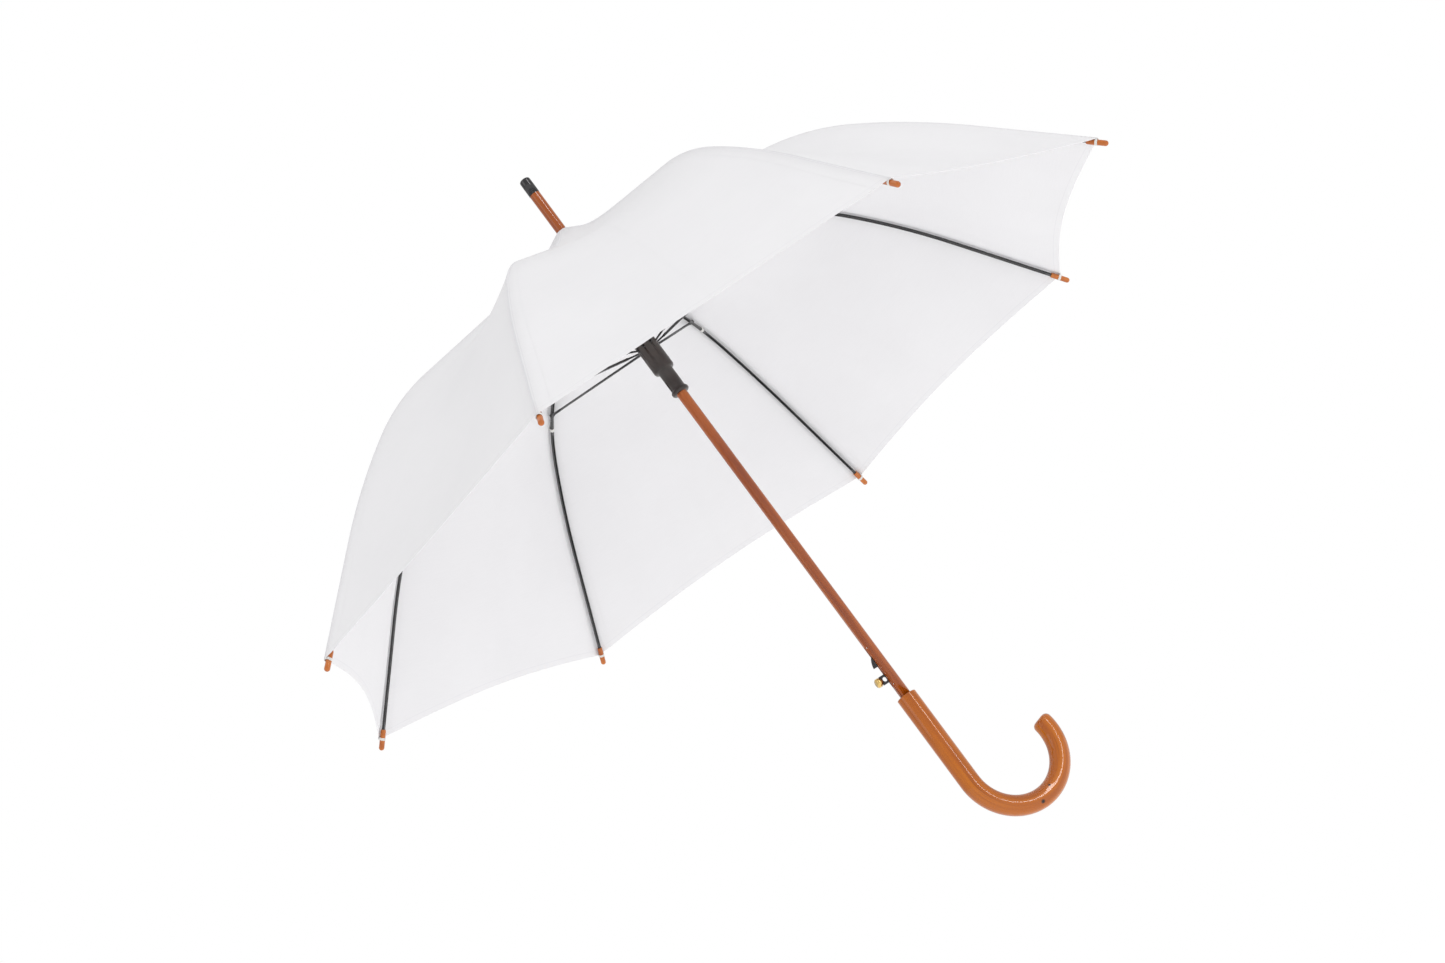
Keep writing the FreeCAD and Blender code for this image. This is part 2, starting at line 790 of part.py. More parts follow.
def make_catch_plate():
    """Flat steel catch: a plate in the shaft's slot, with a curved hook above and a button loop below."""
    body = new_body("catch_body")
    front = -catch_inset
    back = front + size("catch_plate_depth")
    hook_x = -shaft_radius - size("hook_reach")
    sketch = new_sketch(body, "catch_outline")
    top = catch_z + size("catch_plate_top")
    bottom = catch_z - size("catch_plate_bottom")
    loop_z = catch_z - size("button_drop")
    half_loop = size("loop_height") / 2
    loop_x = -shaft_radius - size("loop_reach")
    hook_top = catch_z + size("hook_height")
    points = [
        Vector(back, bottom, 0),
        Vector(back, top, 0),
        Vector(front, top, 0),
        Vector(front, hook_top, 0),
    ]
    lower = [
        Vector(hook_x, catch_z, 0),
        Vector(front, catch_z, 0),
        Vector(front, loop_z + half_loop, 0),
        Vector(loop_x, loop_z + half_loop, 0),
        Vector(loop_x, loop_z - half_loop, 0),
        Vector(front, loop_z - half_loop, 0),
        Vector(front, bottom, 0),
        points[0],
    ]
    for first, second in zip(points, points[1:]):
        sketch.addGeometry(Part.LineSegment(first, second), False)
    belly = Vector((front + hook_x) / 2 - 1.2, (hook_top + catch_z) / 2 + 0.8, 0)
    sketch.addGeometry(Part.Arc(points[-1], belly, lower[0]), False)
    for first, second in zip(lower, lower[1:]):
        sketch.addGeometry(Part.LineSegment(first, second), False)
    pad_both_ways(body, sketch, "catch_plate_pad", "Sizes.catch_thickness")
    doc.recompute()
    hole = new_sketch(body, "loop_hole_outline")
    draw_circle(hole, -shaft_radius - size("loop_hole_radius") * 0.9, loop_z, size("loop_hole_radius"))
    cut_both_ways(body, hole, "loop_hole", "4 * Sizes.catch_thickness")
    return keep(body, "catch_hook")


def make_knob():
    """Brass button knob, fixed to the outer edge of the catch's loop."""
    radius = size("knob_diameter") / 2
    height = size("knob_height")
    body = turned_body(
        "knob_body",
        [
            (0, 0),
            (radius * 0.72, 0),
            (radius * 0.72, height * 0.3),
            (radius, height * 0.3),
            (radius, height * 0.85),
            (radius * 0.85, height),
            (0, height),
        ],
    )
    face = Vector(-shaft_radius - size("loop_reach"), 0, catch_z - size("button_drop"))
    body.Placement = Placement(face, Rotation(UP, Vector(-1, 0, 0)))
    return keep(body, "release_button")


def make_keepers():
    """The two short pins that keep the catch plate in the shaft."""
    pins = []
    for number, (x, z) in enumerate(keeper_places()):
        edge = x - size("keeper_diameter") / 2
        span = 2 * math.sqrt(shaft_radius**2 - edge**2)
        pin = doc.addObject("Part::Cylinder", "keeper_%d" % (number + 1))
        pin.setExpression("Radius", "Sizes.keeper_diameter / 2")
        pin.Height = span
        pin.Placement = Placement(Vector(x, span / 2, z), Rotation(UP, -SIDEWAYS))
        pins.append(pin)
    group = doc.addObject("Part::Compound", "keeper_pair")
    group.Links = pins
    return keep(group, "catch_keeper_pins")


def make_leaf_spring():
    """Bowed leaf behind the catch plate, resting on the floor of its slot."""
    floor = size("catch_travel") + size("catch_gap") - catch_inset + size("catch_plate_depth")
    back = size("catch_plate_depth") - catch_inset
    thickness = size("leaf_thickness")
    near = back + size("pin_clearance")
    far = floor - size("pin_clearance")
    reach = size("catch_plate_top") * 0.75
    body = new_body("leaf_body")
    sketch = new_sketch(body, "leaf_outline")
    ends = [Vector(near, catch_z + reach, 0), Vector(near, catch_z - reach, 0)]
    inner = Vector(far - thickness, catch_z, 0)
    outer_ends = [end + Vector(thickness, 0, 0) for end in ends]
    outer = Vector(far, catch_z, 0)
    sketch.addGeometry(Part.Arc(ends[0], inner, ends[1]), False)
    sketch.addGeometry(Part.LineSegment(ends[1], outer_ends[1]), False)
    sketch.addGeometry(Part.Arc(outer_ends[1], outer, outer_ends[0]), False)
    sketch.addGeometry(Part.LineSegment(outer_ends[0], ends[0]), False)
    pad_both_ways(body, sketch, "leaf_pad", "Sizes.catch_thickness")
    return keep(body, "catch_spring")


def make_opening_spring():
    """Tension coil in the shaft's bore, from the anchor pin down to the drive pin."""
    wire = size("spring_wire_diameter") / 2
    mean = size("spring_diameter") / 2 - wire
    gap = size("side_clearance")
    low = drive_pin_z + drive_radius + wire + gap
    high = anchor_z - drive_radius - wire - gap
    pitch = (high - low) / size("spring_turns")
    path = Part.makeHelix(pitch, high - low, mean)
    path.translate(Vector(0, 0, low))
    start = path.Edges[0]
    direction = start.tangentAt(start.FirstParameter)
    section = Part.Wire(Part.makeCircle(wire, start.valueAt(start.FirstParameter), direction))
    sweep = Part.BRepOffsetAPI.MakePipeShell(Part.Wire(path.Edges))
    sweep.setFrenetMode(True)
    sweep.add(section)
    sweep.build()
    sweep.makeSolid()
    spring = doc.addObject("Part::Feature", "opening_coil")
    spring.Shape = sweep.shape()
    return keep(spring, "opening_spring")


# ----------------------------------------------------------------------------------------------------
# Canopy
# ----------------------------------------------------------------------------------------------------


def ridge(run):
    """Cloth over the rib: the rib's centreline, lifted clear of the tip and raised over the crown's neck."""
    out, height = rib_offset(max(run, 0.0), size("cloth_lift"))
    if run < 0:
        slope = math.radians(size("rib_slope"))
        out += run * math.cos(slope)
        height -= run * math.sin(slope)
    height += size("apex_lift") * math.exp(-((max(out, 0.0) / size("apex_spread")) ** 1.5))
    return out, height, rib_place(max(run, 0.0))[2]


def corner_run():
    """Where the cloth's corner is sewn, halfway along the tip."""
    return RIB_LENGTH - size("tip_socket_depth") + size("tip_length") / 2


def first_run():
    """Run at which the ridge meets the hole round the shaft."""
    return (shaft_radius + size("apex_gap") - ring_radius) / math.cos(math.radians(size("rib_slope")))


def cloth_point(share, side, below):
    """Point of half a rib's cloth: share runs from the shaft to the hem, side from rib to seam line."""
    half_step = math.radians(STEP / 2)
    slack = 1 - (1 - side) ** 2
    start = first_run()
    run = start + share * (corner_run() - size("hem_dip") * slack - start)
    out, height, slope = ridge(run)
    turn = side * (half_step - size("seam_gap") / 2 / out)
    chord = out * math.cos(half_step) / math.cos(half_step - turn)
    if share == 0:
        chord = out
    sag = slack * (size("gore_sag") * 4 * share * (1 - share) + size("hem_sag") * share) + below
    a = math.radians(slope)
    radius = chord - sag * math.sin(a)
    return Vector(radius * math.cos(turn), radius * math.sin(turn), height - sag * math.cos(a))


def make_half_cloth():
    """One side of a rib's share of the canopy, as a thin closed solid."""
    rows, columns = 15, 6

    def skin(below):
        grid = [
            [cloth_point(i / (rows - 1), j / (columns - 1), below) for j in range(columns)]
            for i in range(rows)
        ]
        surface = Part.BSplineSurface()
        surface.interpolate(grid)
        return surface

    top, under = skin(0.0), skin(size("cloth_thickness"))
    faces = [top.toShape(), under.toShape()]
    u0, u1, v0, v1 = top.bounds()
    p0, p1, q0, q1 = under.bounds()
    pairs = [
        (top.uIso(u0), under.uIso(p0)),
        (top.uIso(u1), under.uIso(p1)),
        (top.vIso(v0), under.vIso(q0)),
        (top.vIso(v1), under.vIso(q1)),
    ]
    for first, second in pairs:
        faces.append(Part.makeRuledSurface(first.toShape(), second.toShape()))
    shell = Part.Shell(faces)
    shell.sewShape()
    solid = Part.Solid(shell)
    solid.fix(1e-4, 1e-4, 1e-3)
    if solid.Volume < 0:
        solid.reverse()
    return solid


def make_canopy():
    """Eight equal cloth panels, one over each rib, that meet along the middles of the gores."""
    half = make_half_cloth()
    panel = half.fuse(half.mirror(Vector(), SIDEWAYS))
    for index in range(RIBS):
        cloth = doc.addObject("Part::Feature", "canopy_panel_%d_cloth" % (index + 1))
        cloth.Shape = panel
        cloth.Placement = turn_to_rib(index)
        keep(cloth, "canopy_panel_%d" % (index + 1))


# ----------------------------------------------------------------------------------------------------
# Build
# ----------------------------------------------------------------------------------------------------

make_shaft()
make_handle()
make_cap()
make_crown()
make_runner()
make_pivot_wire("notch_wire", crown_z)
make_pivot_wire("runner_wire", runner_z)
pin_inner = -drive_radius
pin_outer = runner_pin_reach()
drive = doc.addObject("Part::Cylinder", "drive_bar")
drive.setExpression("Radius", "Sizes.drive_pin_diameter / 2")
drive.Height = pin_outer - pin_inner
drive.Placement = Placement(Vector(pin_inner, 0, drive_pin_z), Rotation(UP, Vector(1, 0, 0)))
keep(drive, "drive_pin")
anchor = make_cross_pin(
    "anchor",
    "Sizes.drive_pin_diameter",
    "Sizes.shaft_diameter - 2 * Sizes.side_clearance",
    Vector(0, 0, anchor_z),
    SIDEWAYS,
)
keep(anchor, "spring_anchor_pin")
make_catch_plate()
make_knob()
make_keepers()
make_leaf_spring()
make_opening_spring()
for number in range(RIBS):
    make_inner_rib(number)
    make_outer_rib(number)
    make_stretcher(number)
    make_tip(number)
make_canopy()

doc.recompute()

faults = [
    "%s: %s" % (obj.Label, obj.State)
    for obj in doc.Objects
    if "Invalid" in obj.State or "Error" in obj.State
]
faults += ["%s has no valid shape" % o.Label for o in nodes if o.Shape.isNull() or not o.Shape.isValid()]
if faults:
    raise RuntimeError("\n".join(faults))

os.makedirs("parts", exist_ok=True)
for node in nodes:
    node.Shape.exportStep("parts/%s.step" % node.Label)

print("sub-parts:", len(nodes))
print("rib length %.1f, joint at (%.3f, %.3f)" % (RIB_LENGTH, joint_out, joint_z))
print("link %.4f, runner pivot %.3f, travel %.3f" % (link_length, runner_z, runner_travel))
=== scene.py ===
"""Looks of an open stick umbrella, in metres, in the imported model's own frame.

The shaft stands on the Z axis with its point up. Rib k stands at 6.6 degrees plus 45 degrees times k - 1.
"""

import bpy
import bmesh
import numpy as np
from mathutils import Matrix, Vector


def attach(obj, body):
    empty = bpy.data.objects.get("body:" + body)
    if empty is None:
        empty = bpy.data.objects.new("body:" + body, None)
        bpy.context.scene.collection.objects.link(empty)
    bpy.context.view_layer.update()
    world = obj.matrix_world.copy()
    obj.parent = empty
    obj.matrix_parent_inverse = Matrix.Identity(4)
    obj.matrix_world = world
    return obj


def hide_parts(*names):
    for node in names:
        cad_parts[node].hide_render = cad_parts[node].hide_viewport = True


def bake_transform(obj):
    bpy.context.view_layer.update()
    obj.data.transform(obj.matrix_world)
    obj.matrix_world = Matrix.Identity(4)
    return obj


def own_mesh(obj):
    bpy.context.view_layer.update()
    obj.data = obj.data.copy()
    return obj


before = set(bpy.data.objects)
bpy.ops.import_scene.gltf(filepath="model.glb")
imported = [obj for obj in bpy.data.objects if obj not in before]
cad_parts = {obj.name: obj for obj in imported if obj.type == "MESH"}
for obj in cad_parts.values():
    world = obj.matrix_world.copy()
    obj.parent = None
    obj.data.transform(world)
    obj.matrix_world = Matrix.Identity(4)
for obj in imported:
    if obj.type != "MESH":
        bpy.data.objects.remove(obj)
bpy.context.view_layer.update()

# ----------------------------------------------------------------------------------------------------
# Sizes of the frame that the cloth is cut to
# ----------------------------------------------------------------------------------------------------

RIBS = 8
HALF_STEP = np.pi / RIBS
FIRST_RIB = np.radians(6.6)
CROWN_HEIGHT = 0.661
PIVOT_RADIUS = 0.0105
RIB_SLOPE = np.radians(15.7)
# stretches of a rib from the crown out: radius of the bend, or 0 where straight, and length
RIB_STRETCHES = (
    (0.0, 0.232),
    (0.250, 0.250 * np.radians(21.3)),
    (0.780, 0.780 * np.radians(9.5)),
    (0.0, 0.130),
)
RIB_LENGTH = sum(length for radius, length in RIB_STRETCHES)
FLEX_RUN = 0.277
COLLAR_RUN = 0.030
YOKE_RUN = 0.060
RIDGE_SIDE = 0.075
CLOTH_LIFT = 0.0044
CLOTH_START = (0.0065 - PIVOT_RADIUS) / np.cos(RIB_SLOPE)
CORNER_RUN = RIB_LENGTH + 0.0015
HEM_DIP = 0.015
HEM_WIDTH = 0.007
CLOTH_THICKNESS = 0.0003
# points nearer than this are one point, in new pieces and in copies of CAD nodes
SAME_POINT = 1e-7
CAD_SAME_POINT = 2e-6


def rib_line(run):
    """Distance out, height and downward slope at a run along a rib. A bend of radius R that turns the
    slope from a to a + b adds R (sin(a + b) - sin a) outwards and lowers it by R (cos a - cos(a + b))."""
    out = np.full(np.shape(run), PIVOT_RADIUS)
    height = np.full(np.shape(run), CROWN_HEIGHT)
    slope = np.full(np.shape(run), RIB_SLOPE)
    start = 0.0
    for number, (radius, length) in enumerate(RIB_STRETCHES):
        low = -1.0 if number == 0 else 0.0
        high = length if number < len(RIB_STRETCHES) - 1 else 1.0
        part = np.clip(run - start, low, high)
        if radius:
            turned = slope + part / radius
            out = out + radius * (np.sin(turned) - np.sin(slope))
            height = height - radius * (np.cos(slope) - np.cos(turned))
            slope = turned
        else:
            out = out + part * np.cos(slope)
            height = height - part * np.sin(slope)
        start += length
    return out, height, slope


def turned_to_rib(points, number):
    """Points drawn with the rib over +X, turned about Z to rib number (1 to 8)."""
    angle = FIRST_RIB + 2 * HALF_STEP * (number - 1)
    c, s = np.cos(angle), np.sin(angle)
    x, y, z = points[..., 0], points[..., 1], points[..., 2]
    return np.stack([x * c - y * s, x * s + y * c, z], axis=-1)


# ----------------------------------------------------------------------------------------------------
# Mesh building
# ----------------------------------------------------------------------------------------------------


def new_piece(name, points, faces, smooth=True):
    """An object in the scene with a mesh made of points and of faces, which list their corners."""
    mesh = bpy.data.meshes.new(name)
    mesh.from_pydata(points.reshape(-1, 3), [], faces.reshape(-1, faces.shape[-1]))
    mesh.polygons.foreach_set("use_smooth", np.full(len(mesh.polygons), smooth))
    mesh.update()
    piece = bpy.data.objects.new(name, mesh)
    bpy.context.scene.collection.objects.link(piece)
    return piece


def grid_faces(rows, columns, wrap=False):
    """Corner numbers of the quads over a grid of rows by columns, joined round its columns if wrapped."""
    i, j = np.meshgrid(np.arange(rows - 1), np.arange(columns if wrap else columns - 1), indexing="ij")
    following = (j + 1) % columns
    row, next_row = i * columns, (i + 1) * columns
    corners = [row + j, row + following, next_row + following, next_row + j]
    return np.stack(corners, axis=-1).reshape(-1, 4)


def merge_points(mesh, distance, turn_outwards):
    """Join the points of a mesh that lie within a distance, and turn its faces outwards if asked."""
    build = bmesh.new()
    build.from_mesh(mesh)
    bmesh.ops.remove_doubles(build, verts=build.verts, dist=distance)
    if turn_outwards:
        bmesh.ops.recalc_face_normals(build, faces=build.faces)
    build.to_mesh(mesh)
    build.free()


def closed_tube(name, rings):
    """A skin over rings of points, an array of (rings, points, 3), with each end ring drawn in to its
    middle."""
    ends = [np.broadcast_to(rings[i].mean(axis=0), rings[i].shape) for i in (0, -1)]
    rings = np.concatenate([ends[0][None], rings, ends[1][None]])
    piece = new_piece(name, rings, grid_faces(rings.shape[0], rings.shape[1], wrap=True))
    merge_points(piece.data, SAME_POINT, True)
    return piece


def closed_ring(name, rings):
    """A skin over rings of points that runs out and back, so that its last ring joins its first."""
    rings = np.concatenate([rings, rings[:1]])
    piece = new_piece(name, rings, grid_faces(rings.shape[0], rings.shape[1], wrap=True)[:, ::-1])
    merge_points(piece.data, SAME_POINT, True)
    piece.data.set_sharp_from_angle(angle=np.radians(50.0))
    return piece


def smooth_copy(node, name, angle=35.0):
    """A merged, smooth-shaded copy of a CAD node, with edges sharper than the angle kept crisp."""
    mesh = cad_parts[node].data.copy()
    mesh.name = name
    merge_points(mesh, CAD_SAME_POINT, False)
    mesh.polygons.foreach_set("use_smooth", np.full(len(mesh.polygons), True))
    mesh.set_sharp_from_angle(angle=np.radians(angle))
    piece = bpy.data.objects.new(name, mesh)
    bpy.context.scene.collection.objects.link(piece)
    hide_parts(node)
    return piece


def dress(piece, finish, body):
    """Give a piece its finish and the body it rides on, if there is one."""
    piece.data.materials.clear()
    piece.data.materials.append(finish)
    if body:
        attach(piece, body)
    return piece


# ----------------------------------------------------------------------------------------------------
# Finishes
# ----------------------------------------------------------------------------------------------------


class Finish:
    """A material with one Principled shader, and short ways to add and join nodes."""

    def __init__(self, name, **settings):
        self.material = bpy.data.materials.new(name)
        self.material.use_nodes = True
        self.tree = self.material.node_tree
        self.shader = next(n for n in self.tree.nodes if n.type == "BSDF_PRINCIPLED")
        for socket, value in settings.items():
            self.shader.inputs[socket.replace("_", " ")].default_value = value

    def node(self, kind, settings=None, **inputs):
        made = self.tree.nodes.new(kind)
        for key, value in (settings or {}).items():
            setattr(made, key, value)
        for key, value in inputs.items():
            self.put(value, made.inputs[key.replace("_", " ")])
        return made

    def put(self, value, socket):
        if isinstance(value, bpy.types.NodeSocket):
            self.tree.links.new(value, socket)
        else:
            socket.default_value = value

    def place(self, stretch=(1, 1, 1), attribute=None):
        """Object coordinates, or a stored attribute, stretched for a pattern."""
        if attribute:
            source = self.node("ShaderNodeAttribute", {"attribute_name": attribute}).outputs["Vector"]
        else:
            source = self.node("ShaderNodeTexCoord").outputs["Object"]
        return self.node("ShaderNodeMapping", Vector=source, Scale=stretch).outputs["Vector"]

    def noise(self, vector, scale, detail=3.0, roughness=0.5, distortion=0.0):
        return self.node(
            "ShaderNodeTexNoise",
            Vector=vector,
            Scale=scale,
            Detail=detail,
            Roughness=roughness,
            Distortion=distortion,
        ).outputs["Fac"]

    def ramp(self, value, *stops):
        """A colour or grey ramp: each stop is a position and a colour."""
        made = self.node("ShaderNodeValToRGB", Fac=value)
        elements = made.color_ramp.elements
        while len(elements) < len(stops):
            elements.new(0.5)
        for element, (position, colour) in zip(elements, stops):
            element.position = position
            element.color = (*colour, 1.0) if len(colour) == 3 else (colour[0],) * 3 + (1.0,)
        return made.outputs["Color"]

    def mix(self, amount, first, second, blend="MIX"):
        made = self.node("ShaderNodeMix", {"data_type": "RGBA", "blend_type": blend})
        for key, value in (("Factor", amount), ("A", first), ("B", second)):
            socket = next(s for s in made.inputs if s.name == key and s.enabled)
            self.put(value, socket)
        return next(s for s in made.outputs if s.enabled)

    def sum(self, first, second, operation="ADD"):
        """Two values added, or put through another arithmetic operation."""
        made = self.node("ShaderNodeMath", {"operation": operation})
        self.put(first, made.inputs[0])
        self.put(second, made.inputs[1])
        return made.outputs[0]

    def stitch_line(self, attribute, distance, width):
        """1 along the line that lies at a distance from an edge, falling to 0 at a width each side."""
        away = self.node("ShaderNodeAttribute", {"attribute_name": attribute}).outputs["Fac"]
        off = self.sum(self.sum(away, distance, "SUBTRACT"), 0.0, "ABSOLUTE")
        made = self.node("ShaderNodeMapRange", Value=off, From_Min=width, From_Max=0.0)
        return made.outputs["Result"]

    def bump(self, height, strength, distance):
        made = self.node("ShaderNodeBump", Height=height, Strength=strength, Distance=distance)
        self.put(made.outputs["Normal"], self.shader.inputs["Normal"])

    def colour(self, value):
        self.put(value, self.shader.inputs["Base Color"])

    def roughness(self, value):
        self.put(value, self.shader.inputs["Roughness"])


def make_canopy_cloth():
    """White plain-weave polyester: fine threads both ways, a faint cloudiness, stitched hem and seams, and
    painted shade as a darker line down the middle of each seam, where the cloth dips over its rib.
    """
    finish = Finish("canopy_polyester", Roughness=0.62, Subsurface_Weight=0.35, Subsurface_Scale=0.0015)
    finish.shader.inputs["Subsurface Radius"].default_value = (1.0, 1.0, 1.0)
    finish.shader.inputs["Specular IOR Level"].default_value = 0.28
    metres = finish.node("ShaderNodeUVMap", {"uv_map": "cut"}).outputs["UV"]
    threads = {"Vector": metres, "Scale": 900.0, "Distortion": 1.5}
    warp = finish.node("ShaderNodeTexWave", {"bands_direction": "X"}, **threads)
    weft = finish.node("ShaderNodeTexWave", {"bands_direction": "Y"}, **threads)
    weave = finish.sum(warp.outputs["Fac"], weft.outputs["Fac"])
    cloud = finish.noise(finish.place(), 9.0, 4.0)
    along_threads = finish.node("ShaderNodeMapping", Vector=metres, Scale=(40, 900, 1))
    slub = finish.noise(along_threads.outputs["Vector"], 1.0)
    tone = finish.ramp(cloud, (0.3, (0.755, 0.748, 0.765)), (0.7, (0.780, 0.773, 0.790)))
    tone = finish.mix(0.06, tone, finish.ramp(slub, (0.35, (0.70, 0.70, 0.72)), (0.65, (0.88, 0.88, 0.90))))
    hem_line = finish.stitch_line("from_hem", HEM_WIDTH, 0.0006)
    seam_line = finish.stitch_line("from_seam", 0.0022, 0.0006)
    # painted shade: a darker line down the middle of each seam, standing in for the shade of the groove over
    # the rib
    seam_groove_painted_shade = finish.stitch_line("from_seam", 0.0, 0.0012)
    stitches = finish.sum(hem_line, seam_line, "MAXIMUM")
    stitches_and_painted_shade = finish.sum(stitches, finish.sum(seam_groove_painted_shade, 1.6, "MULTIPLY"), "MAXIMUM")
    finish.colour(finish.mix(finish.sum(stitches_and_painted_shade, 0.26, "MULTIPLY"), tone, (0.56, 0.55, 0.60, 1.0)))
    relief = finish.sum(finish.sum(weave, 0.35, "MULTIPLY"), finish.sum(slub, 0.3, "MULTIPLY"))
    finish.bump(relief, 0.25, 0.00012)
    return finish.material


def make_varnished_wood(name, light, middle, dark, attribute=None, knots=()):
    """Varnished wood: long streaks and fine pores along the grain under a clear gloss coat. Each knot is
    a place along the straightened stick and a size, darkened by how near a point is to it."""
    finish = Finish(name, Coat_Weight=1.0, Coat_Roughness=0.07, Coat_IOR=1.45)
    finish.shader.inputs["Specular IOR Level"].default_value = 0.12
    streaks = finish.noise(finish.place((1, 1, 0.05), attribute), 150.0, 4.0, 0.55, 0.3)
    broad = finish.noise(finish.place((1, 1, 0.09), attribute), 42.0, 3.0, 0.5, 0.9)
    pores = finish.noise(finish.place((1, 1, 0.02), attribute), 1100.0, 1.0)
    tone = finish.ramp(streaks, (0.30, dark), (0.5, middle), (0.72, light))
    tone = finish.mix(0.5, tone, finish.ramp(broad, (0.32, dark), (0.52, middle), (0.75, light)))
    pore_share = finish.ramp(pores, (0.62, (0.0,)), (0.75, (0.35,)))
    tone = finish.mix(pore_share, tone, (*(0.4 * c for c in dark), 1.0))
    for x, y, z, size in knots:
        middle_of_knot = finish.node("ShaderNodeCombineXYZ", X=x, Y=y, Z=z).outputs["Vector"]
        away = finish.node("ShaderNodeVectorMath", {"operation": "DISTANCE"})
        finish.put(finish.place(attribute=attribute), away.inputs[0])
        finish.put(middle_of_knot, away.inputs[1])
        share = finish.node(
            "ShaderNodeMapRange", Value=away.outputs["Value"], From_Min=size, From_Max=size * 0.4
        ).outputs["Result"]
        tone = finish.mix(share, tone, (0.012, 0.004, 0.002, 1.0))
    finish.colour(tone)
    finish.roughness(finish.ramp(streaks, (0.3, (0.45,)), (0.7, (0.35,))))
    finish.bump(broad, 0.05, 0.00005)
    return finish.material


def make_enamel():
    """Black baked enamel on steel: deep gloss with a slight ripple and a few dull rubs."""
    finish = Finish("rib_enamel", Metallic=0.0, Coat_Weight=0.6, Coat_Roughness=0.12)
    ripple = finish.noise(finish.place(), 260.0, 3.0)
    rubs = finish.noise(finish.place(), 38.0, 5.0, 0.7)
    finish.colour(finish.ramp(rubs, (0.45, (0.012, 0.012, 0.013)), (0.8, (0.035, 0.034, 0.034))))
    finish.roughness(finish.ramp(rubs, (0.35, (0.26,)), (0.75, (0.46,))))
    finish.bump(ripple, 0.12, 0.0002)
    return finish.material


def make_metal(name, light, dark, roughness, scale=220.0, coat=0.0):
    """Polished metal: tone and roughness wander a little, with fine wear scratches."""
    finish = Finish(name, Metallic=1.0, Coat_Weight=coat)
    patches = finish.noise(finish.place(), scale * 0.3, 4.0)
    scratches = finish.noise(finish.place((1, 1, 0.08)), scale * 6, 3.0, 0.7)
    finish.colour(finish.mix(0.5, finish.ramp(patches, (0.3, dark), (0.7, light)), (*light, 1.0)))
    finish.roughness(finish.ramp(scratches, (0.3, (roughness * 0.75,)), (0.75, (roughness * 1.5,))))
    finish.bump(scratches, 0.06, 0.0001)
    return finish.material


def make_moulded_plastic():
    """Dark brown-black satin moulded plastic with a fine grain."""
    finish = Finish("runner_moulding", Coat_Weight=0.15, Coat_Roughness=0.3)
    grain = finish.noise(finish.place(), 1400.0, 3.0, 0.6)
    swirl = finish.noise(finish.place((1, 1, 0.5)), 60.0, 4.0, 0.6, 1.2)
    finish.colour(finish.ramp(swirl, (0.3, (0.017, 0.011, 0.009)), (0.75, (0.034, 0.020, 0.015))))
    finish.roughness(finish.ramp(swirl, (0.3, (0.30,)), (0.7, (0.42,))))
    finish.bump(grain, 0.15, 0.00015)
    return finish.material


def make_thread():
    """White sewing thread: two strands twisted, slightly fuzzy."""
    finish = Finish("sewing_thread", Roughness=0.75, Sheen_Weight=0.3)
    lint = finish.noise(finish.place(), 2600.0, 3.0)
    finish.colour(finish.ramp(lint, (0.3, (0.70, 0.69, 0.66)), (0.7, (0.86, 0.85, 0.83))))
    finish.bump(lint, 0.4, 0.0002)
    return finish.material


cloth_finish = make_canopy_cloth()
shaft_finish = make_varnished_wood(
    "shaft_varnished_wood", (0.52, 0.135, 0.006), (0.38, 0.080, 0.003), (0.20, 0.030, 0.001)
)
handle_finish = make_varnished_wood(
    "handle_varnished_wood",
    (0.60, 0.185, 0.004),
    (0.46, 0.115, 0.002),
    (0.27, 0.050, 0.001),
    "grain",
    (
        (-0.005, -0.0095, -0.135, 0.0028),
        (0.004, -0.0098, -0.152, 0.0020),
        (-0.009, -0.006, -0.215, 0.0022),
    ),
)
tip_finish = make_varnished_wood(
    "tip_varnished_wood", (0.62, 0.20, 0.03), (0.50, 0.13, 0.014), (0.30, 0.06, 0.006)
)
enamel_finish = make_enamel()
cap_finish = make_metal(
    "point_cap_black_nickel", (0.045, 0.043, 0.045), (0.025, 0.024, 0.026), 0.18, coat=0.6
)
catch_finish = make_metal("catch_blued_steel", (0.030, 0.029, 0.030), (0.018, 0.018, 0.019), 0.34)
brass_finish = make_metal("button_polished_brass", (0.83, 0.58, 0.22), (0.62, 0.40, 0.13), 0.16)
spring_finish = make_metal("spring_bright_steel", (0.58, 0.57, 0.55), (0.42, 0.41, 0.40), 0.24)
plastic_finish = make_moulded_plastic()
thread_finish = make_thread()

# ----------------------------------------------------------------------------------------------------
# Canopy
# ----------------------------------------------------------------------------------------------------


def cloth_surface(run, side, below):
    """The stretched cloth beside a rib. run goes down the rib; side is 0 over it and 1 or -1 at the
    middle of the gores each side. Over the rib the cloth lies a little above it and rises round the
    crown's neck as exp(-(distance / 38 mm) ^ 1.5). Across, it follows the straight chord to the next
    rib, then sags inwards by slack (14 mm x 4 s (1 - s) + 8 mm x s), where s goes from 0 at the shaft
    to 1 at the hem and slack = 1 - (1 - |side|) ^ 2. The hem curves up by the same slack."""
    reach = np.abs(side)
    slack = 1 - (1 - reach) ** 2
    share = (run - CLOTH_START) / (CORNER_RUN - HEM_DIP * slack - CLOTH_START)
    out, height, slope = rib_line(run)
    out = out + CLOTH_LIFT * np.sin(slope)
    height = height + CLOTH_LIFT * np.cos(slope)
    height = height + 0.019 * np.exp(-((np.maximum(out, 0) / 0.038) ** 1.5))
    turn = side * HALF_STEP
    chord = out * np.cos(HALF_STEP) / np.cos(HALF_STEP - np.abs(turn))
    settled = np.clip(share / 0.02, 0, 1)
    chord = out + (chord - out) * settled
    sag = slack * (0.014 * 4 * share * (1 - share) + 0.008 * share)
    sag = sag + cloth_ease(run, side, share) + below
    radius = chord - sag * np.sin(slope)
    return np.stack([radius * np.cos(turn), radius * np.sin(turn), height - sag * np.cos(slope)], axis=-1)


